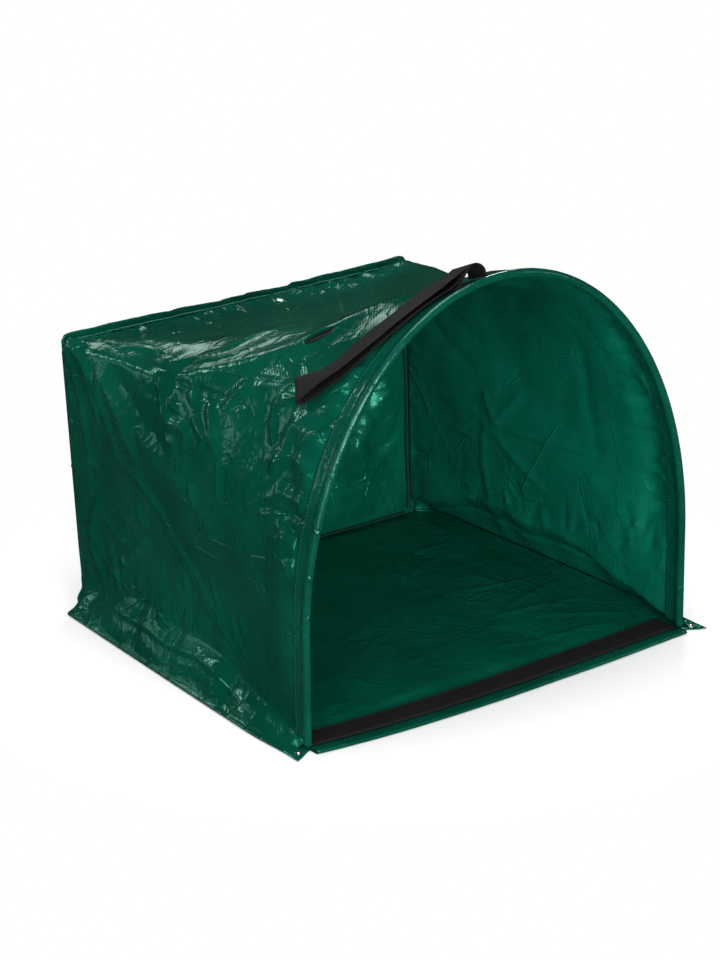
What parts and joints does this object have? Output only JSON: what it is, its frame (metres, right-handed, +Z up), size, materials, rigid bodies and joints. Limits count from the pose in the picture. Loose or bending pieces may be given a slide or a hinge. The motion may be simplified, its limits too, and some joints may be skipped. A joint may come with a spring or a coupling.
{
  "type": "garden waste bag",
  "caption": "Lie-down garden waste bag: a coated cloth hood from a D-shaped mouth on a bent rod to a square rear panel, with a flat floor, a front lip and a carrying loop.",
  "frame": {"origin": "on the ground under the middle of the bag, halfway between the mouth and the rear panel's foot", "axes": "+X right as seen from the mouth, -Y out of the mouth, +Z up"},
  "size_m": [0.66, 0.5912, 0.5717],
  "materials": {
    "coated_cloth": "glossy coated cloth",
    "webbing": "matt woven strap",
    "binding": "satin tape",
    "glass_rod": "glass-fibre rod",
    "soft_cap": "soft cap",
    "batten": "plain strip",
    "rivet_steel": "bright"
  },
  "bodies": {
    "mouth_frame": {"arch_rod": "glass_rod", "rod_cap_left": "soft_cap", "rod_cap_right": "soft_cap", "arch_hem": "coated_cloth", "front_batten": "batten", "front_hem": "coated_cloth", "front_webbing": "webbing", "hood_sheet": "coated_cloth", "floor_panel": "coated_cloth", "rivet_left": "rivet_steel", "rivet_right": "rivet_steel", "slot_binding": "binding", "handle_end_left": "webbing", "handle_end_right": "webbing"},
    "rear_end": {"rear_panel": "coated_cloth", "corner_tape_left": "binding", "corner_tape_right": "binding", "top_tape": "binding", "foot_tape": "binding"},
    "handle": {"handle_loop": "webbing"}
  },
  "joints": [
    {"name": "rear_push_in", "type": "slide", "parent": "mouth_frame", "child": "rear_end", "axis": [0, -1, 0], "range_m": [0, 0.49], "deforming": ["hood_sheet", "floor_panel"]},
    {"name": "handle_swing", "type": "hinge", "parent": "mouth_frame", "child": "handle", "pos_m": [-0.04786, -0.25151, 0.56354], "axis": [0.0219, 0.9488, -0.3152], "range_deg": [0, 200]}
  ]
}
